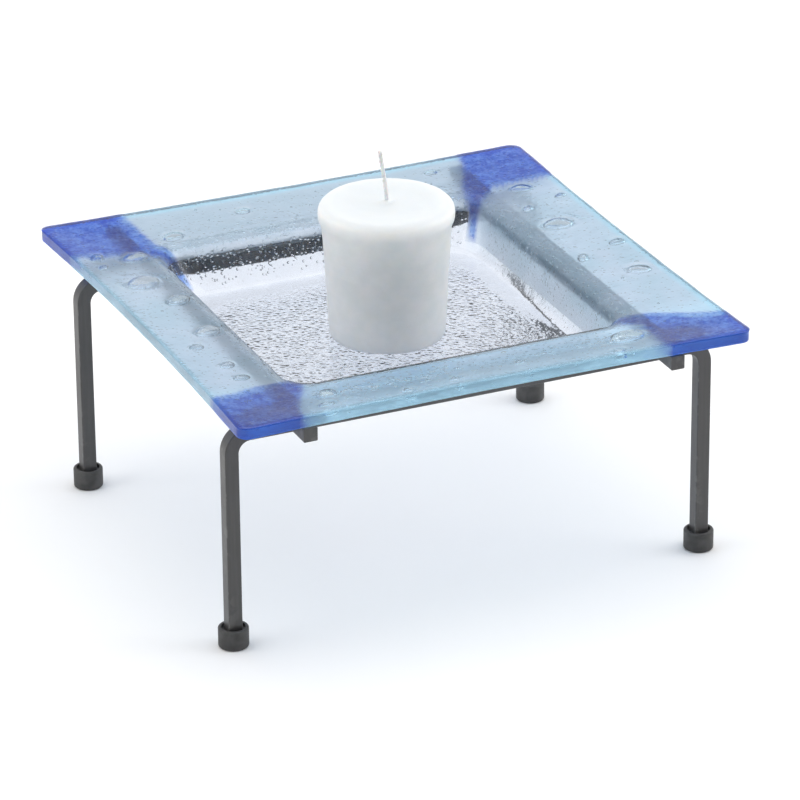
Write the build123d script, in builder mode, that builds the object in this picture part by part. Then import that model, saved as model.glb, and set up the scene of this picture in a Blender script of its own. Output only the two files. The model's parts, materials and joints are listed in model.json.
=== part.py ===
"""Votive candle stand: a square slumped-glass plate with a sunken well, resting in a welded
four-legged stand of square steel bar, with one votive candle standing in the well.

Millimetres. The origin is on the ground at the stand's centre, +Z up. +X runs along the two
U-shaped leg frames, and +Y from the front frame to the rear one.
"""

import os

from build123d import *

os.makedirs("parts", exist_ok=True)

# Steel stand: square bar, two U frames with two cross bars welded on top of them.
BAR = 4.76
LEG_X = 83.4
FRAME_Y = 65.0
FRAME_TOP = 76.8
BEND_RADIUS = 8.8
CROSS_BAR_X = 64.1
CROSS_BAR_LENGTH = 171.0
CROSS_BAR_TOP = FRAME_TOP + BAR
BAR_EDGE = 0.4
WELD_LEG = 1.5

# Round foot caps pushed on the leg ends.
CAP_RADIUS = 5.0
CAP_HEIGHT = 6.8
CAP_FLOOR = 2.0
CAP_RECESS_RADIUS = 3.9
CAP_RECESS_DEPTH = 1.2
CAP_EDGE = 0.6

# Glass plate. Each surface is a stack of rounded squares from the well's floor out to the rim:
# half the side, the corner radius and the height.
PLATE_HALF = 89.0
PLATE_CORNER = 4.0
SIDE_BOW = 1.6
GLASS_EDGE = 1.4
WELL_FLOOR = 67.7
PAST_RIM = 92.0
TOP_SURFACE = [
    (52.5, 14.5, WELL_FLOOR),
    (54.6, 15.5, 69.2),
    (58.4, 10.5, 82.0),
    (60.6, 9.5, 84.1),
    (65.0, 9.0, 85.2),
    (PAST_RIM, 9.0, 87.66),
]
UNDER_SURFACE = [
    (51.2, 14.0, 65.0),
    (56.4, 15.5, 67.4),
    (60.8, 12.5, 80.6),
    (61.5, 12.0, CROSS_BAR_TOP),
    (67.0, 11.0, CROSS_BAR_TOP),
    (PAST_RIM, 9.0, 83.2),
]
ABOVE_PLATE = 100.0
BELOW_PLATE = 50.0
FLAT = 0.001

# Coloured glass over the clear base: the centre panel ends at the well's crest, and each
# corner tile covers these lengths of the front or rear side (X) and the left or right side (Y).
PANEL_HALF = 59.5
TILE_SIDES = {
    "front_left": (24.0, 23.0),
    "front_right": (33.0, 22.0),
    "rear_right": (23.0, 28.0),
    "rear_left": (28.0, 27.0),
}

# Votive candle: tapered wax, cotton wick, and the stamped metal tab that holds the wick.
WAX_BASE_RADIUS = 19.3
WAX_TOP_RADIUS = 22.5
WAX_HEIGHT = 47.0
WAX_SHOULDER = 3.0
WAX_DIP = 0.6
WAX_TOP = WELL_FLOOR + WAX_HEIGHT
WICK_RADIUS = 0.75
WICK_TIP = (-2.2, 1.0, 132.4)
TAB_RADIUS = 7.0
TAB_THICKNESS = 0.4
TAB_NECK_RADIUS = 1.7
TAB_NECK_HEIGHT = 5.0

CORNER_SIGNS = {
    "front_left": (-1, -1),
    "front_right": (1, -1),
    "rear_right": (1, 1),
    "rear_left": (-1, 1),
}


def finish(builder, name):
    """Label a finished piece and write its STEP file."""
    builder.part.label = name
    export_step(builder.part, f"parts/{name}.step")


# ---------------------------------------------------------------- steel stand


def make_u_frame(side):
    """One U frame: two legs and a top bar bent from a single length of square bar."""
    outer = LEG_X + BAR / 2
    inner = LEG_X - BAR / 2
    with BuildPart() as u_frame:
        with BuildSketch(Plane.XZ.offset(-side * FRAME_Y)):
            with BuildLine():
                FilletPolyline(
                    (-outer, CAP_FLOOR), (-outer, FRAME_TOP),
                    (outer, FRAME_TOP), (outer, CAP_FLOOR),
                    radius=BEND_RADIUS,
                )
                Line((outer, CAP_FLOOR), (inner, CAP_FLOOR))
                FilletPolyline(
                    (inner, CAP_FLOOR), (inner, FRAME_TOP - BAR),
                    (-inner, FRAME_TOP - BAR), (-inner, CAP_FLOOR),
                    radius=BEND_RADIUS - BAR,
                )
                Line((-inner, CAP_FLOOR), (-outer, CAP_FLOOR))
            make_face()
        extrude(amount=BAR / 2, both=True)
        leg_ends = u_frame.edges().group_by(Axis.Z)[0]
        fillet(u_frame.edges().filter_by(Axis.Y, reverse=True) - leg_ends, BAR_EDGE)
    return u_frame


for side, name in ((-1, "u_frame_front"), (1, "u_frame_rear")):
    finish(make_u_frame(side), name)

for side, name in ((-1, "cross_bar_left"), (1, "cross_bar_right")):
    with BuildPart() as cross_bar:
        with BuildSketch(Plane.XZ.offset(-CROSS_BAR_LENGTH / 2)):
            with Locations((side * CROSS_BAR_X, CROSS_BAR_TOP - BAR / 2)):
                Rectangle(BAR, BAR)
        extrude(amount=CROSS_BAR_LENGTH)
        fillet(cross_bar.edges().filter_by(Axis.Y), BAR_EDGE)
    finish(cross_bar, name)

# Two weld beads lie under each cross bar, one each side of the U frame's top bar.
for corner, (side_x, side_y) in CORNER_SIGNS.items():
    with BuildPart() as weld:
        for face in (-1, 1):
            bead_y = side_y * FRAME_Y + face * BAR / 2
            with BuildSketch(Plane.YZ.offset(side_x * CROSS_BAR_X)):
                with BuildLine():
                    Line((bead_y, FRAME_TOP), (bead_y + face * WELD_LEG, FRAME_TOP))
                    RadiusArc(
                        (bead_y + face * WELD_LEG, FRAME_TOP), (bead_y, FRAME_TOP - WELD_LEG),
                        face * 2.0 * WELD_LEG,
                    )
                    Line((bead_y, FRAME_TOP - WELD_LEG), (bead_y, FRAME_TOP))
                make_face()
            extrude(amount=BAR / 2, both=True)
    finish(weld, f"weld_{corner}")

# ------------------------------------------------------------------ foot caps

for corner, (side_x, side_y) in CORNER_SIGNS.items():
    foot = (side_x * LEG_X, side_y * FRAME_Y)
    with BuildPart() as foot_cap:
        with BuildSketch(Plane((*foot, 0))):
            Circle(CAP_RADIUS)
        extrude(amount=CAP_HEIGHT)
        fillet(foot_cap.edges().filter_by(GeomType.CIRCLE), CAP_EDGE)
        with BuildSketch(Plane((*foot, CAP_HEIGHT))):
            Circle(CAP_RECESS_RADIUS)
        extrude(amount=-CAP_RECESS_DEPTH, mode=Mode.SUBTRACT)
        with BuildSketch(Plane((*foot, CAP_FLOOR))):
            Rectangle(BAR, BAR)
        extrude(amount=CAP_HEIGHT, mode=Mode.SUBTRACT)
    finish(foot_cap, f"foot_cap_{corner}")

# ---------------------------------------------------------------- glass plate


def space_above(surface):
    """Everything above one surface of the plate, from the well's floor to over the rim."""
    with BuildPart() as space:
        for lower, upper in zip(surface, surface[1:]):
            if upper[2] > lower[2]:
                for half, radius, height in (lower, upper):
                    with BuildSketch(Plane.XY.offset(height)):
                        RectangleRounded(2 * half, 2 * half, radius)
                loft(ruled=True)
        half, radius, height = surface[-1]
        with BuildSketch(Plane.XY.offset(height)):
            RectangleRounded(2 * half, 2 * half, radius)
        extrude(amount=ABOVE_PLATE - height)
    return space.part


def glass_layer(over, under, rounded):
    """The glass between two surfaces, inside the plate's outline with its hollow sides.

    The rounded edge is the last in Z order, the top one, or the first, the lower one.
    """
    corners = [(-1, -1), (1, -1), (1, 1), (-1, 1)]
    middles = [(0, -1), (1, 0), (0, 1), (-1, 0)]
    with BuildPart() as layer:
        with BuildSketch(Plane.XY.offset(BELOW_PLATE)) as outline:
            with BuildLine():
                for index, middle in enumerate(middles):
                    start = Vector(*corners[index]) * PLATE_HALF
                    end = Vector(*corners[(index + 1) % 4]) * PLATE_HALF
                    ThreePointArc(start, Vector(*middle) * (PLATE_HALF - SIDE_BOW), end)
            make_face()
            fillet(outline.vertices(), PLATE_CORNER)
        extrude(amount=ABOVE_PLATE - BELOW_PLATE)
        add(under, mode=Mode.INTERSECT)
        add(over, mode=Mode.SUBTRACT)
        sides = layer.faces().filter_by(lambda face: face.center().length > PLATE_HALF)
        upright = sides.filter_by(lambda face: abs(face.normal_at().Z) < FLAT)
        fillet([face.edges().sort_by(Axis.Z)[rounded] for face in upright], GLASS_EDGE)
    return layer


middle_surface = [
    tuple((upper + lower) / 2 for upper, lower in zip(*pair))
    for pair in zip(TOP_SURFACE, UNDER_SURFACE)
]
space_over_top = space_above(TOP_SURFACE)
space_over_middle = space_above(middle_surface)
space_over_under = space_above(UNDER_SURFACE)

glass_base = glass_layer(space_over_middle, space_over_under, 0)
finish(glass_base, "glass_base")

top_layer = glass_layer(space_over_top, space_over_middle, -1)


def make_top_glass(points):
    """One piece of the upper glass, cut from the layer by vertical planes."""
    with BuildPart() as piece:
        with BuildSketch(Plane.XY.offset(BELOW_PLATE)):
            Polygon(*points, align=None)
        extrude(amount=ABOVE_PLATE - BELOW_PLATE)
        add(top_layer.part, mode=Mode.INTERSECT)
    return piece


def tile_points(corner):
    """A corner tile's outline: outer corner, end on the X side, inner corner, end on the Y side."""
    side_x, side_y = CORNER_SIGNS[corner]
    along_x, along_y = TILE_SIDES[corner]
    return [
        (side_x * PAST_RIM, side_y * PAST_RIM),
        (side_x * (PLATE_HALF - along_x), side_y * PAST_RIM),
        (side_x * PANEL_HALF, side_y * PANEL_HALF),
        (side_x * PAST_RIM, side_y * (PLATE_HALF - along_y)),
    ]


panel_corners = [(x * PANEL_HALF, y * PANEL_HALF) for x, y in CORNER_SIGNS.values()]
finish(make_top_glass(panel_corners), "centre_panel")

for corner in CORNER_SIGNS:
    finish(make_top_glass(tile_points(corner)), f"corner_tile_{corner}")

# A strip's long edges join the tiles at its two ends. Index 1 of a tile's outline is its end on
# the front or rear side, 2 its inner corner and 3 its end on the left or right side.
STRIPS = {
    "rim_strip_front": ("front_left", "front_right", 1),
    "rim_strip_right": ("front_right", "rear_right", 3),
    "rim_strip_rear": ("rear_right", "rear_left", 1),
    "rim_strip_left": ("rear_left", "front_left", 3),
}
for name, (first, second, end) in STRIPS.items():
    start, stop = tile_points(first), tile_points(second)
    finish(make_top_glass([start[end], stop[end], stop[2], start[2]]), name)

# --------------------------------------------------------------------- candle

with BuildPart() as wick_tab:
    with BuildSketch(Plane.XY.offset(WELL_FLOOR)):
        Circle(TAB_RADIUS)
    extrude(amount=TAB_THICKNESS)
    with BuildSketch(Plane.XY.offset(WELL_FLOOR + TAB_THICKNESS)):
        Circle(TAB_NECK_RADIUS)
        Circle(WICK_RADIUS, mode=Mode.SUBTRACT)
    extrude(amount=TAB_NECK_HEIGHT)
finish(wick_tab, "wick_tab")

with BuildPart() as wick:
    with BuildLine() as wick_path:
        FilletPolyline(
            (0, 0, WELL_FLOOR + TAB_THICKNESS),
            (0, 0, WAX_TOP + 2.0),
            (WICK_TIP[0] * 0.35, WICK_TIP[1] * 0.35, WAX_TOP + 9.5),
            WICK_TIP,
            radius=6.0,
        )
    with BuildSketch(Plane.XY.offset(WELL_FLOOR + TAB_THICKNESS)):
        Circle(WICK_RADIUS)
    sweep(path=wick_path.line)
finish(wick, "wick")

with BuildPart() as candle_wax:
    with BuildSketch(Plane.XZ):
        with BuildLine():
            Line((0, WELL_FLOOR), (WAX_BASE_RADIUS, WELL_FLOOR))
            Line((WAX_BASE_RADIUS, WELL_FLOOR), (WAX_TOP_RADIUS, WAX_TOP - WAX_SHOULDER))
            RadiusArc(
                (WAX_TOP_RADIUS, WAX_TOP - WAX_SHOULDER), (WAX_TOP_RADIUS - WAX_SHOULDER, WAX_TOP),
                -WAX_SHOULDER,
            )
            Line((WAX_TOP_RADIUS - WAX_SHOULDER, WAX_TOP), (0, WAX_TOP - WAX_DIP))
            Line((0, WAX_TOP - WAX_DIP), (0, WELL_FLOOR))
        make_face()
    revolve(axis=Axis.Z)
    add(wick_tab.part, mode=Mode.SUBTRACT)
    add(wick.part, mode=Mode.SUBTRACT)
finish(candle_wax, "candle_wax")
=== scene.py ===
import json
import math
import random

import bpy
import numpy as np
from mathutils import Matrix, Vector, noise


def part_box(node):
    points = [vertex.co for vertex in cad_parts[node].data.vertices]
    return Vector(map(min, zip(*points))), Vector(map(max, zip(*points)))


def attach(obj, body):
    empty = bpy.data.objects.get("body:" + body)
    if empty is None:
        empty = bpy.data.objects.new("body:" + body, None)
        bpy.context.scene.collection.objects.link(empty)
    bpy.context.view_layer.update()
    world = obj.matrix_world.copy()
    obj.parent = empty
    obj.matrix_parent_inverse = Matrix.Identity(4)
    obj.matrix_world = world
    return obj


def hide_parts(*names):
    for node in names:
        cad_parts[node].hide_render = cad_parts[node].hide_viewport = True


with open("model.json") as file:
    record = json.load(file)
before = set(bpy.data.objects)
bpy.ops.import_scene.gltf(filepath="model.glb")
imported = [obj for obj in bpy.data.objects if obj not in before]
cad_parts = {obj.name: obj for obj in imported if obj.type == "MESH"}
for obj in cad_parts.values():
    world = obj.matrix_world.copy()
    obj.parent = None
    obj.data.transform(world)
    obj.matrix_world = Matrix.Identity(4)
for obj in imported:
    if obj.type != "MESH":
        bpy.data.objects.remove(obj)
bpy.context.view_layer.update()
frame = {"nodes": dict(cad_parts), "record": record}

# Looks of a votive candle stand: a fused-glass plate with a sunken well, in a welded stand of
# square steel bar, with one white votive candle in the well. Metres, in the CAD model's frame:
# +Z up, +X along the two U frames, +Y from the front frame to the rear one.

MM = 0.001
rng = random.Random(7)

# Heights that the looks are built around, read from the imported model.
FLOOR_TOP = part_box("candle_wax")[0].z
FLOOR_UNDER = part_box("glass_base")[0].z
BAR_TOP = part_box("cross_bar_left")[1].z
RIM_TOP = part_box("corner_tile_front_left")[1].z
WAX_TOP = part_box("candle_wax")[1].z
WAX_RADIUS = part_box("candle_wax")[1].x
WICK_LOW, WICK_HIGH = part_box("wick")

# ------------------------------------------------------------------ camera and light

CAMERA_PLACE = Vector((-0.6172, -1.4027, 0.7515))
CAMERA_AIM = Vector((0.0016, -0.0061, 0.0450))
CAMERA_ROLL = math.radians(-0.48)
CAMERA_LENS = 228.0

# Each softbox: place, size in metres, and watts.
LAMP_AIM = Vector((0, 0, 0.06))
SOFTBOXES = {
    "softbox_top": ((0.10, 0.10, 1.60), (2.4, 2.4), 23.5),
    "softbox_left": ((-1.35, 0.15, 0.70), (1.0, 1.2), 5.5),
    "softbox_right": ((1.30, -0.40, 0.70), (1.0, 1.2), 6.5),
}

# The world's brightness rises from the front, behind the camera, to the rear right.
WORLD_TOWARD = (0.40, 0.90, 0.15)
WORLD_TURN = (-0.6, 0.5)
WORLD_STRENGTH = (0.19, 0.80)
WORLD_TINT = (1.0, 0.995, 0.985, 1)


def make_camera():
    """A long lens from the front left, a little above the rim."""
    data = bpy.data.cameras.new("camera")
    data.lens = CAMERA_LENS
    data.clip_start = 0.05
    camera = bpy.data.objects.new("camera", data)
    bpy.context.scene.collection.objects.link(camera)
    look = (CAMERA_AIM - CAMERA_PLACE).to_track_quat("-Z", "Y").to_matrix().to_4x4()
    camera.matrix_world = (
        Matrix.Translation(CAMERA_PLACE) @ look @ Matrix.Rotation(CAMERA_ROLL, 4, "Z")
    )
    bpy.context.scene.camera = camera


def make_softbox(name, place, size, watts):
    """A rectangular lamp that faces the stand."""
    data = bpy.data.lights.new(name, "AREA")
    data.shape = "RECTANGLE"
    data.size, data.size_y = size
    data.energy = watts
    lamp = bpy.data.objects.new(name, data)
    lamp.location = place
    toward = LAMP_AIM - Vector(place)
    lamp.rotation_euler = toward.to_track_quat("-Z", "Y").to_euler()
    lamp.visible_camera = False
    bpy.context.scene.collection.objects.link(lamp)


def make_lights():
    """A soft tent: a large lamp overhead, one at each side, and a pale world."""
    for name, (place, size, watts) in SOFTBOXES.items():
        make_softbox(name, place, size, watts)
    world = bpy.data.worlds.new("tent")
    bpy.context.scene.world = world
    world.use_nodes = True
    nodes, links = world.node_tree.nodes, world.node_tree.links
    nodes.clear()
    direction = nodes.new("ShaderNodeTexCoord")
    facing = nodes.new("ShaderNodeVectorMath")
    facing.operation = "DOT_PRODUCT"
    facing.inputs[1].default_value = WORLD_TOWARD
    ramp = nodes.new("ShaderNodeMapRange")
    ramp.interpolation_type = "SMOOTHSTEP"
    ramp.inputs["From Min"].default_value, ramp.inputs["From Max"].default_value = WORLD_TURN
    ramp.inputs["To Min"].default_value, ramp.inputs["To Max"].default_value = WORLD_STRENGTH
    background = nodes.new("ShaderNodeBackground")
    background.inputs["Color"].default_value = WORLD_TINT
    output = nodes.new("ShaderNodeOutputWorld")
    links.new(direction.outputs["Generated"], facing.inputs[0])
    links.new(facing.outputs["Value"], ramp.inputs["Value"])
    links.new(ramp.outputs["Result"], background.inputs["Strength"])
    links.new(background.outputs[0], output.inputs["Surface"])
    view = bpy.context.scene.view_settings
    view.view_transform = "Standard"
    view.look = "None"


# ------------------------------------------------------------------------ materials


class Shader:
    """A short way to write a material's nodes."""

    def __init__(self, name):
        self.material = bpy.data.materials.new(name)
        self.material.use_nodes = True
        self.tree = self.material.node_tree
        self.tree.nodes.clear()
        self.output = self.node("OutputMaterial")

    def node(self, kind, inputs=None, **settings):
        made = self.tree.nodes.new("ShaderNode" + kind)
        for key, value in settings.items():
            setattr(made, key, value)
        for key, value in (inputs or {}).items():
            self.put(made.inputs[key], value)
        return made

    def put(self, socket, value):
        """Sets an input to a number or colour, or links it to another node's output."""
        if isinstance(value, bpy.types.NodeSocket):
            self.tree.links.new(value, socket)
        else:
            socket.default_value = value

    def place(self):
        """Position on the object, in metres."""
        return self.node("TexCoord").outputs["Object"]

    def noise(self, size, detail=2.0, stretch=(1, 1, 1), roughness=0.5):
        """Cloudy noise from 0 to 1 with features about size metres across."""
        spread = tuple(s / size for s in stretch)
        moved = self.node("Mapping", {"Vector": self.place(), "Scale": spread})
        wanted = {"Vector": moved.outputs[0], "Scale": 1.0, "Detail": detail, "Roughness": roughness}
        return self.node("TexNoise", wanted).outputs["Fac"]

    def cells(self, size):
        """Distance to scattered points about size metres apart."""
        spread = (1 / size,) * 3
        moved = self.node("Mapping", {"Vector": self.place(), "Scale": spread})
        wanted = {"Vector": moved.outputs[0], "Scale": 1.0}
        return self.node("TexVoronoi", wanted).outputs["Distance"]

    def ramp(self, value, low, high, to_low=0.0, to_high=1.0):
        """A value between low and high, moved to another range."""
        wanted = {"Value": value, "From Min": low, "From Max": high}
        wanted.update({"To Min": to_low, "To Max": to_high})
        return self.node("MapRange", wanted, interpolation_type="SMOOTHSTEP").outputs[0]

    def maths(self, operation, a, b=0.0):
        return self.node("Math", {0: a, 1: b}, operation=operation).outputs[0]

    def mix(self, share, first, second):
        """A colour between two others."""
        made = self.node("Mix", data_type="RGBA")
        for index, value in ((0, share), (6, first), (7, second)):
            self.put(made.inputs[index], value)
        return made.outputs[2]

    def part_of(self, vector, axis):
        """One of a vector's X, Y and Z."""
        return self.node("SeparateXYZ", {"Vector": vector}).outputs[axis]

    def value_of(self, attribute):
        """A number stored on the mesh."""
        return self.node("Attribute", attribute_name=attribute).outputs["Fac"]

    def bump(self, height, distance, strength=1.0, after=None):
        """Relief of that depth in metres, on top of any earlier relief."""
        wanted = {"Height": height, "Distance": distance, "Strength": strength}
        if after:
            wanted["Normal"] = after
        return self.node("Bump", wanted).outputs[0]

    def finish(self, surface):
        self.tree.links.new(surface.outputs[0], self.output.inputs["Surface"])
        return self.material


def rgb(red, green, blue):
    return (red, green, blue, 1.0)


def black_steel():
    """Satin black paint on square bar: fine orange peel, dust, and a little wear on the edges."""
    s = Shader("black_steel")
    peel = s.noise(0.0012, 3.0)
    cloud = s.noise(0.018, 4.0)
    streak = s.noise(0.0011, 3.0, (1.0, 1.0, 0.06))
    wear = s.ramp(s.node("NewGeometry").outputs["Pointiness"], 0.56, 0.66)
    worn = s.maths("MULTIPLY", wear, s.ramp(s.noise(0.003, 4.0), 0.50, 0.66))
    paint = s.mix(s.ramp(cloud, 0.3, 0.7), rgb(0.058, 0.058, 0.058), rgb(0.068, 0.067, 0.067))
    streaks = s.maths("MULTIPLY", s.ramp(streak, 0.35, 0.75), 0.4)
    paint = s.mix(streaks, paint, rgb(0.092, 0.090, 0.089))
    paint = s.mix(worn, paint, rgb(0.14, 0.138, 0.135))
    relief = s.bump(peel, 0.00006)
    relief = s.bump(cloud, 0.00010, after=relief)
    return s.finish(s.node("BsdfPrincipled", {
        "Base Color": paint,
        "Roughness": s.ramp(cloud, 0.2, 0.8, 0.36, 0.50),
        "Specular IOR Level": 0.5,
        "Coat Weight": 0.12,
        "Coat Roughness": 0.3,
        "Normal": relief,
    }))


def weld_steel():
    """Painted weld metal: lumpy, with spatter under the paint."""
    s = Shader("weld_steel")
    lumps = s.noise(0.0008, 4.0)
    paint = s.mix(s.ramp(lumps, 0.35, 0.65), rgb(0.045, 0.045, 0.047), rgb(0.085, 0.082, 0.080))
    return s.finish(s.node("BsdfPrincipled", {
        "Base Color": paint,
        "Roughness": s.ramp(lumps, 0.3, 0.7, 0.38, 0.6),
        "Normal": s.bump(lumps, 0.0002),
    }))


def cap_rubber():
    """Matt moulded rubber with a fine grain and a dusty bloom."""
    s = Shader("cap_rubber")
    grain = s.noise(0.0004, 3.0)
    bloom = s.noise(0.005, 4.0)
    colour = s.mix(s.ramp(bloom, 0.35, 0.75), rgb(0.052, 0.052, 0.052), rgb(0.094, 0.093, 0.092))
    return s.finish(s.node("BsdfPrincipled", {
        "Base Color": colour,
        "Roughness": s.ramp(bloom, 0.2, 0.8, 0.5, 0.68),
        "Specular IOR Level": 0.4,
        "Normal": s.bump(grain, 0.00008),
    }))


def tab_metal():
    """Thin stamped metal with drawing marks."""
    s = Shader("tab_metal")
    marks = s.noise(0.0006, 3.0, (1.0, 0.08, 1.0))
    colour = s.mix(marks, rgb(0.62, 0.62, 0.63), rgb(0.78, 0.78, 0.79))
    return s.finish(s.node("BsdfPrincipled", {
        "Base Color": colour,
        "Metallic": 1.0,
        "Roughness": s.ramp(marks, 0.3, 0.7, 0.25, 0.42),
        "Normal": s.bump(marks, 0.00003),
    }))


def white_wax():
    """Translucent white wax: faint frosting, shallow pour marks, and painted shade that greys the
    upward-facing top.
    """
    s = Shader("white_wax")
    frost = s.noise(0.006, 5.0)
    pours = s.noise(0.010, 3.0, (0.3, 0.3, 2.5))
    grain = s.noise(0.0009, 2.0)
    colour = s.mix(s.ramp(frost, 0.3, 0.75), rgb(0.86, 0.885, 0.88), rgb(0.92, 0.935, 0.93))
    # Painted shade: faces that point up are painted a darker grey than the sides.
    facing = s.part_of(s.node("NewGeometry").outputs["Normal"], "Z")
    colour = s.mix(s.ramp(facing, 0.35, 0.95), colour, rgb(0.70, 0.735, 0.76))
    relief = s.bump(grain, 0.00004)
    relief = s.bump(pours, 0.00035, after=relief)
    return s.finish(s.node("BsdfPrincipled", {
        "Base Color": colour,
        "Subsurface Weight": 1.0,
        "Subsurface Radius": (1.0, 0.9, 0.8),
        "Subsurface Scale": 0.009,
        "IOR": 1.44,
        "Roughness": s.ramp(frost, 0.2, 0.8, 0.34, 0.52),
        "Normal": relief,
    }))


def wick_cotton():
    """Waxed cotton yarn."""
    s = Shader("wick_cotton")
    fibre = s.noise(0.0002, 3.0, (1.0, 1.0, 0.25))
    soak = s.noise(0.004, 2.0)
    colour = s.mix(s.ramp(fibre, 0.3, 0.7), rgb(0.86, 0.855, 0.845), rgb(0.96, 0.955, 0.95))
    colour = s.mix(s.ramp(soak, 0.4, 0.8), colour, rgb(0.94, 0.94, 0.935))
    return s.finish(s.node("BsdfPrincipled", {
        "Base Color": colour,
        "Subsurface Weight": 0.3,
        "Subsurface Scale": 0.0008,
        "Roughness": 0.7,
        "Sheen Weight": 0.3,
        "Normal": s.bump(fibre, 0.00012),
    }))


# How far from the middle the painted light on the front strip and the painted shade on the rear strip
# start and are full.
STRIP_LIGHT_AND_SHADE_FROM, STRIP_LIGHT_AND_SHADE_FULL = 52 * MM, 64 * MM
STEEP_ROUGHNESS = 0.12


def fused_glass(name, clearness, roughness):
    """Glass by the mesh's masks: clear in the well, aqua in the strips, cobalt in the tiles, with
    painted shade in the clear tint and painted light and shade in the front and rear strips and along
    the outer edge.
    """
    s = Shader(name)
    cobalt, aqua = s.value_of("cobalt"), s.value_of("aqua")
    hammered, edge = s.value_of("hammered"), s.value_of("edge")
    seedy, steep = s.value_of("seedy"), s.value_of("steep")
    cloud = s.noise(0.013, 4.0)
    # Painted shade: the clear glass is tinted a darker lilac grey, standing in for the shaded floor
    # seen through it.
    clear = s.mix(cloud, rgb(0.64, 0.69, 0.78), rgb(0.73, 0.77, 0.85))
    strip = s.mix(s.ramp(cloud, 0.3, 0.7), rgb(0.46, 0.60, 0.71), rgb(0.56, 0.66, 0.775))
    depth = s.part_of(s.place(), "Y")
    # Painted light on the front strip, which is tinted lighter and bluer, and painted shade on the
    # rear strip, which is tinted darker.
    front = s.mix(cloud, rgb(0.49, 0.68, 0.81), rgb(0.59, 0.75, 0.88))
    rear = s.mix(cloud, rgb(0.43, 0.55, 0.64), rgb(0.52, 0.60, 0.70))
    strip = s.mix(s.ramp(depth, -STRIP_LIGHT_AND_SHADE_FROM, -STRIP_LIGHT_AND_SHADE_FULL), strip, front)
    strip = s.mix(s.ramp(depth, STRIP_LIGHT_AND_SHADE_FROM, STRIP_LIGHT_AND_SHADE_FULL), strip, rear)
    # Painted light: along the outer edge the strips are painted a brighter, more saturated cyan, for
    # the light seen through the sheet's width.
    strip = s.mix(edge, strip, rgb(0.39, 0.71, 0.86))
    patch = s.noise(0.0034, 4.0, roughness=0.65)
    fleck = s.noise(0.0012, 3.0)
    mottle = s.maths("ADD", s.maths("MULTIPLY", patch, 0.6), s.maths("MULTIPLY", fleck, 0.4))
    tile = s.mix(s.ramp(mottle, 0.41, 0.60), rgb(0.005, 0.065, 0.46), rgb(0.13, 0.29, 0.70))
    # Painted light and shade: along the outer edge the tiles are painted a deep, saturated blue, for
    # the light seen through the sheet's width.
    tile = s.mix(edge, tile, rgb(0.003, 0.07, 0.58))
    colour = s.mix(aqua, clear, strip)
    colour = s.mix(cobalt, colour, tile)
    colour = s.mix(s.value_of("hollow"), colour, rgb(0.97, 0.98, 0.99))
    pits = s.ramp(s.cells(0.0015), 0.0, 0.75)
    seeds = s.ramp(s.cells(0.0017), 0.08, 0.36)
    skin = s.noise(0.0017, 3.0)
    ripples = s.noise(0.006, 2.0)
    relief = s.bump(ripples, 0.00022, 0.8)
    relief = s.bump(skin, 0.00005, after=relief)
    relief = s.bump(s.maths("MULTIPLY", pits, hammered), 0.00011, after=relief)
    relief = s.bump(s.maths("MULTIPLY", seeds, seedy), 0.00034, after=relief)
    gloss = s.ramp(cloud, 0.2, 0.8, roughness * 0.8, roughness * 1.2)
    glass = s.node("BsdfPrincipled", {
        "Base Color": colour,
        "Transmission Weight": clearness,
        "IOR": 1.5,
        "Roughness": s.maths("ADD", s.maths("MULTIPLY", steep, STEEP_ROUGHNESS), gloss),
        "Normal": relief,
    })
    # Lamps shine through each surface with the square root of the tint, so that the two
    # surfaces of the sheet tint the light once.
    root = s.node("Gamma", {"Color": colour, "Gamma": 0.5})
    open_to_lamps = s.node("BsdfTransparent", {"Color": root.outputs[0]})
    is_shadow = s.node("LightPath").outputs["Is Shadow Ray"]
    choice = {0: is_shadow, 1: glass.outputs[0], 2: open_to_lamps.outputs[0]}
    return s.finish(s.node("MixShader", choice))


def studio_floor():
    """The pale table top."""
    s = Shader("studio_floor")
    cloud = s.noise(0.3, 2.0)
    colour = s.mix(cloud, rgb(0.925, 0.925, 0.925), rgb(0.94, 0.94, 0.94))
    wanted = {"Base Color": colour, "Roughness": 0.9, "Specular IOR Level": 0.1}
    return s.finish(s.node("BsdfPrincipled", wanted))


# ------------------------------------------------------------------ mesh helpers


def new_piece(name, points, faces, material):
    """A smooth-shaded mesh object from points and faces."""
    mesh = bpy.data.meshes.new(name)
    mesh.from_pydata([tuple(p) for p in points], [], faces)
    mesh.update()
    mesh.polygons.foreach_set("use_smooth", [True] * len(mesh.polygons))
    mesh.materials.append(material)
    piece = bpy.data.objects.new(name, mesh)
    bpy.context.scene.collection.objects.link(piece)
    return piece


CORNER_CUTS = 4


def ring_faces(rings, columns, first=0):
    """Quads between successive rings of points, each closed round."""
    faces = []
    for ring in range(rings - 1):
        here, there = first + ring * columns, first + (ring + 1) * columns
        for c in range(columns):
            after = (c + 1) % columns
            faces.append((here + c, here + after, there + after, there + c))
    return faces


def end_caps(rings, columns):
    """The two faces that close a stack of rings."""
    last = (rings - 1) * columns
    return [tuple(range(columns - 1, -1, -1)), tuple(range(last, last + columns))]


def rounded(points):
    """A broken line with its corners cut again and again, until they are round."""
    line = np.array(points, float)
    for _ in range(CORNER_CUTS):
        near = 0.75 * line[:-1] + 0.25 * line[1:]
        far = 0.25 * line[:-1] + 0.75 * line[1:]
        between = np.stack([near, far], 1).reshape(-1, line.shape[1])
        line = np.vstack([line[:1], between, line[-1:]])
    return line


def soft_step(value):
    """0 below 0, 1 above 1, and smooth between."""
    t = np.clip(value, 0, 1)
    return t * t * (3 - 2 * t)


def cloud_at(points, size, seed=0.0):
    """Smooth noise from about -1 to 1 at each point, with lumps about size metres across."""
    shift = Vector((seed * 17.3, seed * 5.1, seed * 9.7))
    return np.array([noise.noise(Vector(p) / size + shift) for p in points])


# -------------------------------------------------------------------- glass plate

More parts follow.
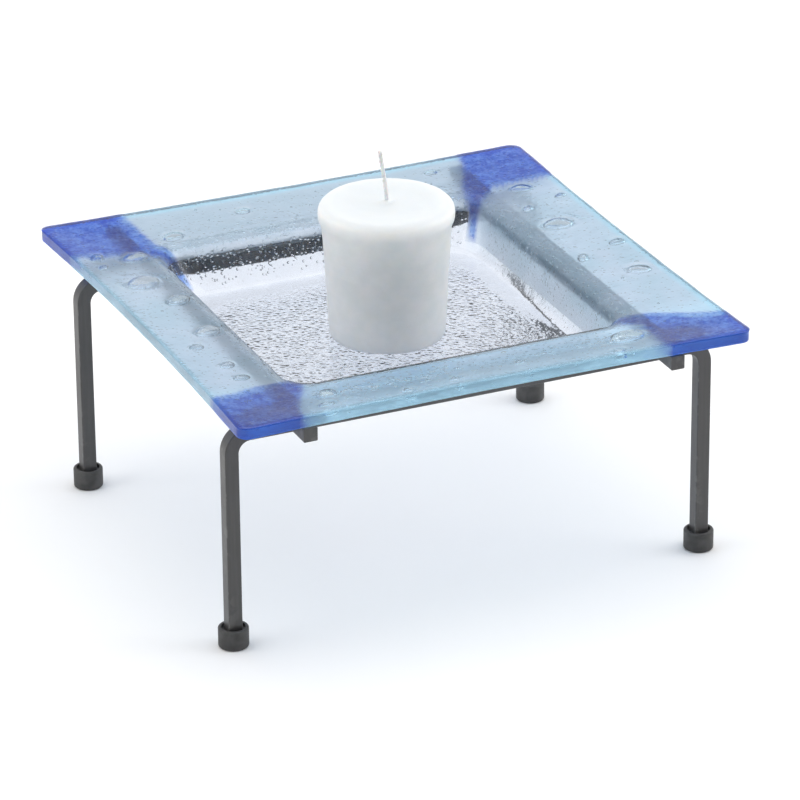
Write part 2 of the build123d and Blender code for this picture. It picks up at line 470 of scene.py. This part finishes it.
# The slab's section, first its underside from the middle outward and then its upper side back to
# the middle: half the side of a rounded square, its corner radius and its height.
PLATE_HALF = 89.0 * MM
PLATE_CORNER = 4.0 * MM
CREST_HALF = 59.5 * MM
CENTRE_HALF = 2.0 * MM
UNDER_SECTION = [
    (CENTRE_HALF, 0.5 * MM, FLOOR_UNDER),
    (50.0 * MM, 13.6 * MM, FLOOR_UNDER),
    (55.0 * MM, 15.2 * MM, FLOOR_UNDER + 1.6 * MM),
    (57.2 * MM, 14.8 * MM, FLOOR_UNDER + 4.2 * MM),
    (60.2 * MM, 12.5 * MM, BAR_TOP - 1.6 * MM),
    (60.9 * MM, 12.0 * MM, BAR_TOP + 0.35 * MM),
    (64.0 * MM, 11.0 * MM, BAR_TOP + 0.12 * MM),
    (67.5 * MM, 9.0 * MM, BAR_TOP + 0.12 * MM),
    (87.2 * MM, PLATE_CORNER, BAR_TOP + 1.3 * MM),
    (89.3 * MM, PLATE_CORNER, BAR_TOP + 1.8 * MM),
]
TOP_SECTION = [
    (89.3 * MM, PLATE_CORNER, RIM_TOP - 0.5 * MM),
    (87.6 * MM, PLATE_CORNER, RIM_TOP - 0.15 * MM),
    (80.0 * MM, 7.0 * MM, RIM_TOP - 0.9 * MM),
    (64.5 * MM, 9.0 * MM, RIM_TOP - 2.2 * MM),
    (59.8 * MM, 9.4 * MM, RIM_TOP - 3.1 * MM),
    (58.2 * MM, 10.5 * MM, RIM_TOP - 5.6 * MM),
    (55.0 * MM, 15.4 * MM, FLOOR_TOP + 1.9 * MM),
    (53.4 * MM, 14.8 * MM, FLOOR_TOP + 0.1 * MM),
    (50.5 * MM, 14.0 * MM, FLOOR_TOP),
    (CENTRE_HALF, 0.5 * MM, FLOOR_TOP),
]

# Outside this half-side the underside has a matt skin, which starts lower on the right.
MATT_FROM, MATT_FROM_RIGHT = 59.7 * MM, 57.2 * MM

# Half-sides where the slab's zones start: the hammered floor ends, the wall rises, the seeds of
# the upper wall begin, and the outer edge turns down.
FLOOR_TO, FLOOR_FADE = 45.5 * MM, 3.0 * MM
WALL_FROM, WALL_FADE = 53.5 * MM, 1.5 * MM
HIGH_WALL_FROM, HIGH_WALL_FADE = 55.6 * MM, 1.6 * MM
RIM_FADE = 2.5 * MM
EDGE_FROM, EDGE_FADE = 87.4 * MM, 1.4 * MM
BOW_FROM, BOW_FADE = 62 * MM, 27 * MM
WALL_CORNER_FROM, WALL_CORNER_FADE = 92 * MM, 8 * MM

# Points around each ring, and the distances between rings.
SIDE_COLUMNS = 84
CORNER_COLUMNS = 14
COLUMNS = 4 * (SIDE_COLUMNS + CORNER_COLUMNS)
TOP_STEP, EDGE_STEP, UNDER_STEP = 1.0 * MM, 0.5 * MM, 1.9 * MM

# How far the middle of each side is pulled in: front, right, rear, left.
BOWS = (2.2 * MM, 1.4 * MM, 1.6 * MM, 2.3 * MM)

# Each cobalt tile, measured in from its own outer corner along X and Y: the ends of its two
# inner edges at the rim's outer edge, and the inner corner where they meet. The glass has run
# from that corner down into the well: from one point to another, and how wide at each.
TILES = {
    (-1, -1): ((22.5, 27.0), (34.0, 34.0), ((31.0, 31.0), (35.0, 35.0), 4.0, 2.0)),
    (1, -1): ((30.0, 19.0), (27.5, 33.0), ((29.0, 30.0), (34.0, 34.0), 4.0, 2.0)),
    (1, 1): ((23.5, 29.5), (31.5, 27.0), ((27.0, 26.5), (33.5, 37.5), 5.5, 1.6)),
    (-1, 1): ((30.0, 28.5), (33.0, 31.5), ((31.0, 30.0), (39.0, 35.5), 4.2, 2.4)),
}

# Large trapped bubbles: middle in X and Y, half the length, half the width, and the turn of the
# length from +X in degrees.
BUBBLES = [
    (-67.5, 55.1, 5.2, 3.6, 25), (-73.1, 33.4, 6.4, 4.4, 15), (-67.5, 16.2, 5.0, 3.4, 30),
    (-68.2, -10.8, 4.9, 3.6, 20), (-77.0, -22.5, 3.0, 2.0, 10), (-73.0, -38.7, 3.0, 2.2, 20),
    (-80.1, 58.0, 3.6, 2.4, 60), (-81.0, 49.5, 2.4, 1.6, 40), (-72.5, -49.5, 3.2, 2.0, 0),
    (-49.0, 67.2, 4.2, 2.8, 10), (-20.0, 76.0, 3.0, 2.0, 0), (36.0, 72.0, 3.4, 2.4, -20),
    (52.0, 80.0, 2.8, 1.8, 0), (74.7, 54.4, 4.2, 2.8, -20), (72.7, 20.9, 5.6, 3.8, -15),
    (83.1, -3.1, 3.4, 2.2, 0), (79.7, -26.3, 4.6, 3.0, -25), (83.5, 41.5, 2.4, 1.6, 0),
    (68.0, -8.0, 3.0, 2.0, 60), (69.5, 38.0, 2.6, 1.8, 30), (51.9, -73.0, 7.2, 4.0, 12),
    (43.9, -83.5, 2.4, 1.6, 0), (-53.0, -72.6, 4.0, 3.0, 10), (-56.5, -80.8, 3.2, 1.9, 5),
    (-29.1, -82.0, 2.2, 1.5, 0), (12.0, -77.0, 2.6, 1.7, 15), (-12.0, -80.5, 2.0, 1.4, 0),
]
SEED_BUBBLES = 110
WALL_SEEDS = 130
FRONT_SEEDS = 60

# A dome is this much wider than its bubble, and this high and ringed by a groove this deep for
# each millimetre of the bubble's half width. The hollow under it is a little smaller.
DOME_SPREAD = 1.15
DOME_RISE = 0.38
GROOVE_DEPTH, GROOVE_AT, GROOVE_WIDTH = 0.11, 1.12, 0.14
HOLLOW_LENGTH, HOLLOW_WIDTH, HOLLOW_HEIGHT = 0.86, 0.82, 1.15 * MM
LARGE_ROUND, LARGE_UP = 24, 10
SEED_ROUND, SEED_UP = 8, 6
SEED_FLATNESS = 0.8


MASKS = ("cobalt", "aqua", "edge", "hammered", "seedy", "steep", "hollow")


def ring_points(half, corner):
    """Points round one rounded square, the same number along each side and corner."""
    run = half - corner
    along = np.linspace(-run, run, SIDE_COLUMNS, endpoint=False)
    side = np.stack([along, np.full(SIDE_COLUMNS, -half)], 1)
    angle = np.linspace(-math.pi / 2, 0, CORNER_COLUMNS, endpoint=False)
    arc = np.stack([run + corner * np.cos(angle), -run + corner * np.sin(angle)], 1)
    quarter = np.vstack([side, arc])
    turns = [quarter]
    for _ in range(3):
        last = turns[-1]
        turns.append(np.stack([-last[:, 1], last[:, 0]], 1))
    return np.vstack(turns)


def even_steps(section, step_of):
    """Points along a section, each about step_of(point) from the next."""
    lengths = np.linalg.norm(np.diff(section[:, [0, 2]], axis=0), axis=1)
    steps = np.array([step_of(p) for p in section])
    turns = np.concatenate([[0], np.cumsum(lengths / ((steps[1:] + steps[:-1]) / 2))])
    wanted = np.linspace(0, turns[-1], max(int(round(turns[-1])), 2) + 1)
    return np.stack([np.interp(wanted, turns, section[:, i]) for i in range(section.shape[1])], 1)


def pull_in_sides(x, y, half):
    """The slab's sides curve inward between its corners, less and less towards the well."""
    share = soft_step((half - BOW_FROM) / BOW_FADE)
    front, right, rear, left = BOWS
    along_x = 1 - (np.clip(x / PLATE_HALF, -1, 1)) ** 2
    along_y = 1 - (np.clip(y / PLATE_HALF, -1, 1)) ** 2
    bow_y = np.where(y < 0, front, rear) * along_x
    bow_x = np.where(x < 0, left, right) * along_y
    return x * (1 - share * bow_x / PLATE_HALF), y * (1 - share * bow_y / PLATE_HALF)


def cobalt_mask(points):
    """1 inside the four cobalt tiles and the glass that ran from them, 0 outside."""
    wobble = 1.1 * cloud_at(points, 9 * MM, 1) + 0.5 * cloud_at(points, 3 * MM, 2)
    mask = np.zeros(len(points))
    for (side_x, side_y), (ends, inner, (start, stop, wide, narrow)) in TILES.items():
        p = (PLATE_HALF - side_x * points[:, 0]) / MM
        q = (PLATE_HALF - side_y * points[:, 1]) / MM
        limit_p = ends[0] + (inner[0] - ends[0]) * soft_step(q / inner[1])
        limit_q = ends[1] + (inner[1] - ends[1]) * soft_step(p / inner[0])
        tile = soft_step((limit_p - p + wobble) / 1.6) * soft_step((limit_q - q + wobble) / 1.6)
        run = np.array(stop) - np.array(start)
        away = np.stack([p, q], 1) - np.array(start)
        along = np.clip(away @ run / (run @ run), 0, 1)
        gap = np.linalg.norm(away - along[:, None] * run, axis=1)
        tail = soft_step((wide + (narrow - wide) * along - gap + 0.6 * wobble) / 1.4)
        mask = np.maximum(mask, np.maximum(tile, tail))
    return mask


def bubble_relief(x, y):
    """The low domes that trapped bubbles raise in the upper surface."""
    relief = np.zeros(len(x))
    for middle_x, middle_y, length, width, turn in BUBBLES:
        cos, sin = math.cos(math.radians(turn)), math.sin(math.radians(turn))
        dx, dy = x / MM - middle_x, y / MM - middle_y
        reach = np.hypot((dx * cos + dy * sin) / length, (dy * cos - dx * sin) / width) / DOME_SPREAD
        dome = np.clip(1 - reach ** 2, 0, 1) ** 1.2
        groove = np.exp(-((reach - GROOVE_AT) / GROOVE_WIDTH) ** 2)
        relief += (DOME_RISE * width * dome - GROOVE_DEPTH * width * groove) * MM
    return relief


def make_slab(material, matt_material):
    """The fused slab: rings of points along the section, then relief along the normals."""
    top = even_steps(rounded(TOP_SECTION), lambda p: EDGE_STEP if p[0] > 86 * MM else TOP_STEP)
    under = even_steps(rounded(UNDER_SECTION), lambda p: EDGE_STEP if p[0] > 88 * MM else UNDER_STEP)
    edge_steps = int((top[0][2] - under[-1][2]) / EDGE_STEP)
    side = np.linspace(under[-1], top[0], edge_steps + 1)[1:-1]
    section = np.vstack([under, side, top])
    rings = len(section)
    half = np.repeat(section[:, 0], COLUMNS)
    x, y = np.vstack([ring_points(h, c) for h, c, _ in section]).T
    x, y = pull_in_sides(x, y, half)
    z = np.repeat(section[:, 2], COLUMNS)
    points = np.stack([x, y, z], 1)
    faces = ring_faces(rings, COLUMNS)
    faces += end_caps(rings, COLUMNS)
    slab = new_piece("fused_glass_plate", points, faces, material)

    on_under = np.repeat(np.arange(rings) < len(under), COLUMNS)
    on_top = np.repeat(np.arange(rings) >= len(under) + len(side), COLUMNS)
    rim = soft_step((half - CREST_HALF) / RIM_FADE)
    wall = soft_step((half - WALL_FROM) / WALL_FADE) * (1 - rim)
    floor = 1 - soft_step((half - FLOOR_TO) / FLOOR_FADE)
    right_side = x > np.abs(y)
    plan = np.stack([x, y, 0 * z], 1)
    cobalt = cobalt_mask(points)

    # Relief in millimetres of noise: along the walls it is stretched upright, as drips are.
    around = np.arctan2(y, x) * 58 * MM
    upright = np.stack([around, z / 2.6, 0 * z], 1)
    floor_relief = -0.05 * MM * (1 + cloud_at(plan, 2.3 * MM, 3)) * floor
    rim_waves = 0.16 * cloud_at(plan, 15 * MM, 4) + 0.05 * cloud_at(plan, 4.5 * MM, 5)
    rim_relief = rim_waves * MM * rim
    corner = soft_step((np.abs(x) + np.abs(y) - WALL_CORNER_FROM) / WALL_CORNER_FADE)
    drips = np.where(right_side, 0.12, 0.03) * cloud_at(upright, 4.2 * MM, 12)
    wall_waves = 0.08 * cloud_at(upright, 8.0 * MM, 6) + 0.02 * cloud_at(upright, 2.8 * MM, 7) + drips
    wall_relief = (wall_waves + 0.45 * corner * cloud_at(upright, 3.4 * MM, 11)) * MM * wall
    tile_rise = 0.15 * MM * cobalt
    top_relief = floor_relief + rim_relief + wall_relief + bubble_relief(x, y) + tile_rise
    under_flat = -0.07 * (1 + cloud_at(plan, 7 * MM, 8)) * (1 - wall)
    under_wall = 0.05 * cloud_at(upright, 6.5 * MM, 9) * wall
    under_relief = (under_flat + under_wall) * MM
    height = np.where(on_top, top_relief, np.where(on_under, under_relief, 0.0))

    normals = np.empty(len(points) * 3)
    slab.data.vertices.foreach_get("normal", normals)
    moved = points + normals.reshape(-1, 3) * height[:, None]
    slab.data.vertices.foreach_set("co", moved.ravel())

    # The masks that the material reads: where each colour, roughness and small relief applies.
    # The outer edge band, where the material paints the light seen through the sheet's width.
    outward = soft_step((half - EDGE_FROM) / EDGE_FADE)
    run_in = np.where(right_side, 4.2 * MM, 1.6 * MM) + 0.7 * MM * cloud_at(points, 6 * MM, 10)
    aqua = soft_step((half - CREST_HALF + run_in) / (2.6 * MM))
    crest = np.exp(-((half - 60.5 * MM) / (3.6 * MM)) ** 2) * on_top
    front_band = np.exp(-((y + 71 * MM) / (4.5 * MM)) ** 2) * (np.abs(x) < 56 * MM) * on_top
    high_wall = wall * soft_step((half - HIGH_WALL_FROM) / HIGH_WALL_FADE)
    seedy_wall = np.where(y > np.abs(x), 0.75 * high_wall, 0.15 * wall)
    seedy = np.maximum(np.maximum(crest, seedy_wall), np.maximum(front_band, 0.2 * rim * on_top))
    masks = dict(zip(MASKS, (cobalt, aqua, outward, floor, seedy, wall, np.zeros(len(points)))))
    for name, values in masks.items():
        stored = slab.data.attributes.new(name, "FLOAT", "POINT")
        stored.data.foreach_set("value", values.astype(np.float32))
    matt_from = np.where(right_side, MATT_FROM_RIGHT, MATT_FROM)
    matt = (half > matt_from) & on_under
    face_matt = np.append(matt[:-COLUMNS], [False, False])
    slab.data.materials.append(matt_material)
    slab.data.polygons.foreach_set("material_index", face_matt.astype(np.int32))
    return slab, under, top


def bubble_shape(middle, length, width, height, turn, steps_round, steps_up):
    """One flat round bubble as a closed shape that faces inward, because it is a hollow."""
    cos, sin = math.cos(turn), math.sin(turn)
    points = [middle + Vector((0, 0, -height))]
    for up in range(1, steps_up):
        rise = math.pi * up / steps_up
        for step in range(steps_round):
            angle = 2 * math.pi * step / steps_round
            u = length * math.sin(rise) * math.cos(angle)
            v = width * math.sin(rise) * math.sin(angle)
            z = -height * math.cos(rise)
            points.append(middle + Vector((u * cos - v * sin, u * sin + v * cos, z)))
    points.append(middle + Vector((0, 0, height)))
    top = len(points) - 1
    faces = []
    for step in range(steps_round):
        after = (step + 1) % steps_round
        faces.append((0, 1 + step, 1 + after))
        faces.append((top, top - steps_round + after, top - steps_round + step))
    for up in range(steps_up - 2):
        low = 1 + up * steps_round
        for step in range(steps_round):
            after = (step + 1) % steps_round
            over = low + steps_round
            faces.append((low + step, over + step, over + after, low + after))
    return points, faces


def make_bubbles(material, under, top):
    """Hollows inside the rim: the large bubbles under their domes, and many seeds."""
    top = top[::-1]
    points, faces = [], []

    def add(x, y, length, width, height, turn, steps_round, steps_up, depth=0.5):
        """A bubble at a share of the glass's depth."""
        half = max(abs(x), abs(y))
        over = np.interp(half, top[:, 0], top[:, 2])
        below = np.interp(half, under[:, 0], under[:, 2])
        middle = Vector((x, y, below + (over - below) * depth))
        put(bubble_shape(middle, length, width, height, turn, steps_round, steps_up))

    def put(shape):
        new_points, new_faces = shape
        first = len(points)
        points.extend(new_points)
        faces.extend(tuple(first + i for i in face) for face in new_faces)

    for x, y, length, width, turn in BUBBLES:
        long, wide = HOLLOW_LENGTH * length * MM, HOLLOW_WIDTH * width * MM
        add(x * MM, y * MM, long, wide, HOLLOW_HEIGHT, math.radians(turn), LARGE_ROUND, LARGE_UP)
    # Seeds in the rear wall, which rises outward from the floor.
    for _ in range(WALL_SEEDS):
        radius = rng.uniform(0.18, 0.42) * MM
        rise = rng.uniform(0, 1)
        x, y = rng.uniform(-44, 44) * MM, (56.4 + 3.2 * rise) * MM
        middle = Vector((x, y, FLOOR_TOP + (2.5 + 10.5 * rise) * MM))
        long = radius * rng.uniform(1.0, 1.8)
        put(bubble_shape(middle, long, radius, radius, 0.0, SEED_ROUND, SEED_UP))
    # A band of seeds along the front strip.
    for _ in range(FRONT_SEEDS):
        radius = rng.uniform(0.25, 0.8) * MM
        x = rng.uniform(-50, 50) * MM
        y = -rng.gauss(72, 3.0) * MM
        long = radius * rng.uniform(1.0, 2.2)
        turn = rng.uniform(-0.3, 0.3)
        add(x, y, long, radius, radius * SEED_FLATNESS, turn, SEED_ROUND, SEED_UP)
    # Seeds scattered over all four strips.
    for _ in range(SEED_BUBBLES):
        side = rng.randrange(4)
        along = rng.uniform(-84, 84) * MM
        across = rng.uniform(64, 85) * MM
        radius = rng.uniform(0.22, 0.62) * MM
        x, y = [(along, -across), (across, along), (along, across), (-across, along)][side]
        long = radius * rng.uniform(1.0, 1.6)
        turn = rng.uniform(0, 3.1)
        depth = rng.uniform(0.35, 0.65)
        add(x, y, long, radius, radius * SEED_FLATNESS, turn, SEED_ROUND, SEED_UP, depth)
    return new_piece("bubbles", points, faces, material)


def make_plate():
    """The fused plate: the slab and its bubbles as one piece, in place of the plate's nodes."""
    material = fused_glass("fused_glass", 1.0, 0.03)
    matt_material = fused_glass("matt_glass", 0.72, 0.36)
    slab, under, top = make_slab(material, matt_material)
    bubbles = make_bubbles(material, under, top)
    for name in MASKS:
        stored = bubbles.data.attributes.new(name, "FLOAT", "POINT")
        stored.data.foreach_set("value", [float(name == "hollow")] * len(bubbles.data.vertices))
    with bpy.context.temp_override(active_object=slab, selected_editable_objects=[slab, bubbles]):
        bpy.ops.object.join()
    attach(slab, "plate")
    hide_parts(*frame["record"]["behaviour"]["bodies"]["plate"])


# ------------------------------------------------------------------------ candle

WAX_BASE = 19.3 * MM
WAX_DISH = 0.9 * MM
WAX_COLUMNS, WAX_RINGS = 120, 90
WICK_STRANDS, WICK_STEPS, WICK_SIDES = 3, 64, 8
WICK_TURNS = 4.2
STRAND_OFFSET, STRAND_RADIUS = 0.36 * MM, 0.42 * MM


def make_wax():
    """The wax: a tapered body with a soft shoulder, a shallow dish on top and slight slumps."""
    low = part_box("candle_wax")[0].z
    dish = WAX_TOP - WAX_DISH
    section = rounded([
        (0.3 * MM, low),
        (WAX_BASE - 1.2 * MM, low),
        (WAX_BASE - 0.1 * MM, low + 0.3 * MM),
        (WAX_BASE + 0.1 * MM, low + 1.6 * MM),
        (WAX_RADIUS - 1.3 * MM, WAX_TOP - 11.0 * MM),
        (WAX_RADIUS - 0.9 * MM, WAX_TOP - 7.6 * MM),
        (WAX_RADIUS + 0.25 * MM, WAX_TOP - 5.6 * MM),
        (WAX_RADIUS - 0.1 * MM, WAX_TOP - 1.5 * MM),
        (WAX_RADIUS - 3.0 * MM, WAX_TOP + 0.15 * MM),
        (WAX_RADIUS - 6.5 * MM, WAX_TOP - 0.2 * MM),
        (9.5 * MM, dish),
        (4.0 * MM, dish),
        (1.6 * MM, dish + 0.25 * MM),
        (0.6 * MM, dish + 1.3 * MM),
        (0.3 * MM, dish + 1.4 * MM),
    ])
    lengths = np.concatenate([[0], np.cumsum(np.linalg.norm(np.diff(section, axis=0), axis=1))])
    wanted = np.linspace(0, lengths[-1], WAX_RINGS)
    section = np.stack([np.interp(wanted, lengths, section[:, i]) for i in (0, 1)], 1)
    angle = np.linspace(0, 2 * math.pi, WAX_COLUMNS, endpoint=False)
    points = []
    for radius, z in section:
        near_top = float(soft_step(np.array((z - WAX_TOP + 4 * MM) / (3 * MM))))
        out = radius / (9 * MM)
        for a in angle:
            cos, sin = math.cos(a), math.sin(a)
            wave = noise.noise(Vector((cos * 1.6, sin * 1.6, z / (12 * MM))))
            sag = noise.noise(Vector((out * cos, out * sin, 4.0)))
            wide = radius * (1 - 0.006 * abs(wave))
            points.append((wide * cos, wide * sin, z - 0.25 * MM * abs(sag) * near_top))
    faces = ring_faces(len(section), WAX_COLUMNS)
    faces += end_caps(len(section), WAX_COLUMNS)
    wax = new_piece("candle_body", points, faces, white_wax())
    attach(wax, "candle")
    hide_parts("candle_wax")


def make_wick():
    """The wick: three twisted cotton yarns, leaning a little to the left, with a frayed tip."""
    tip = Vector((WICK_LOW.x + 0.75 * MM, WICK_HIGH.y - 0.75 * MM, WICK_HIGH.z - 0.2 * MM))
    low = Vector((0, 0, WAX_TOP - 4.0 * MM))
    points, faces = [], []
    steps, sides = WICK_STEPS, WICK_SIDES
    for strand in range(WICK_STRANDS):
        phase = 2 * math.pi * strand / WICK_STRANDS
        first = len(points)
        for step in range(steps + 1):
            t = step / steps
            lean = float(soft_step(np.array((t - 0.12) / 1.1))) * 1.45
            middle = low.lerp(tip, t)
            middle.x = tip.x * lean / 1.75 + 0.12 * MM * math.sin(5 * t)
            middle.y = tip.y * lean / 1.75
            turn = phase + 2 * math.pi * WICK_TURNS * t
            fray = 1 + 0.35 * max(0.0, t - 0.93) / 0.07
            centre = middle + Vector((math.cos(turn), math.sin(turn), 0)) * STRAND_OFFSET * fray
            width = STRAND_RADIUS * (1 - 0.45 * max(0.0, t - 0.95) / 0.05)
            for side in range(sides):
                a = 2 * math.pi * side / sides
                points.append(centre + Vector((math.cos(a), math.sin(a), 0)) * width)
        faces += ring_faces(steps + 1, sides, first)
        faces.append(tuple(first + i for i in range(sides - 1, -1, -1)))
        last = first + steps * sides
        faces.append(tuple(last + i for i in range(sides)))
    wick = new_piece("wick_yarns", points, faces, wick_cotton())
    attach(wick, "candle")
    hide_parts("wick")


# ------------------------------------------------------------------------- stand


BEAD_STEPS, BEAD_SIDES = 26, 10
BEAD_RIPPLES = 5


def make_weld(node, material):
    """The two rippled beads under one crossing of the bars."""
    low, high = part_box(node)
    leg = (high.z - low.z) * 1.05
    bar_low, bar_high = low.y + leg / 1.05, high.y - leg / 1.05
    points, faces = [], []
    ripples, sides = BEAD_STEPS, BEAD_SIDES
    for root, out in ((bar_low, -1), (bar_high, 1)):
        first = len(points)
        for step in range(ripples + 1):
            t = step / ripples
            x = low.x + (high.x - low.x) * t
            swell = 0.82 + 0.14 * abs(math.sin(math.pi * BEAD_RIPPLES * t)) - 0.25 * (2 * t - 1) ** 6
            reach = leg * swell
            for side in range(sides + 1):
                a = math.pi / 2 * side / sides
                points.append((x, root + out * reach * math.cos(a), high.z - reach * math.sin(a)))
            points.append((x, root, high.z))
        row = sides + 2
        quads = ring_faces(ripples + 1, row, first)
        near_end = tuple(range(first + row - 1, first - 1, -1))
        far_end = tuple(range(first + ripples * row, first + (ripples + 1) * row))
        bead_faces = quads + [near_end, far_end]
        faces += bead_faces if out < 0 else [face[::-1] for face in bead_faces]
    bead = new_piece(node + "_beads", points, faces, material)
    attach(bead, "stand")
    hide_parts(node)


def dress_node(node, material):
    """A CAD node that keeps its shape gets its finished material."""
    piece = frame["nodes"][node]
    piece.data.materials.clear()
    piece.data.materials.append(material)


def dress_stand():
    """Materials for the bars and caps, drawn beads for the welds, and metal for the wick's tab."""
    steel, rubber, weld = black_steel(), cap_rubber(), weld_steel()
    for node in frame["record"]["behaviour"]["bodies"]["stand"]:
        if node.startswith("weld"):
            make_weld(node, weld)
        elif node.startswith("foot_cap"):
            dress_node(node, rubber)
        else:
            dress_node(node, steel)
    dress_node("wick_tab", tab_metal())


def make_floor():
    """A pale table top, just below the foot caps."""
    size = 4.0
    corners = [(-size, -size, 0), (size, -size, 0), (size, size, 0), (-size, size, 0)]
    table = new_piece("studio_floor", corners, [(0, 1, 2, 3)], studio_floor())
    table.location.z = -0.1 * MM


make_camera()
make_lights()
make_floor()
dress_stand()
make_plate()
make_wax()
make_wick()
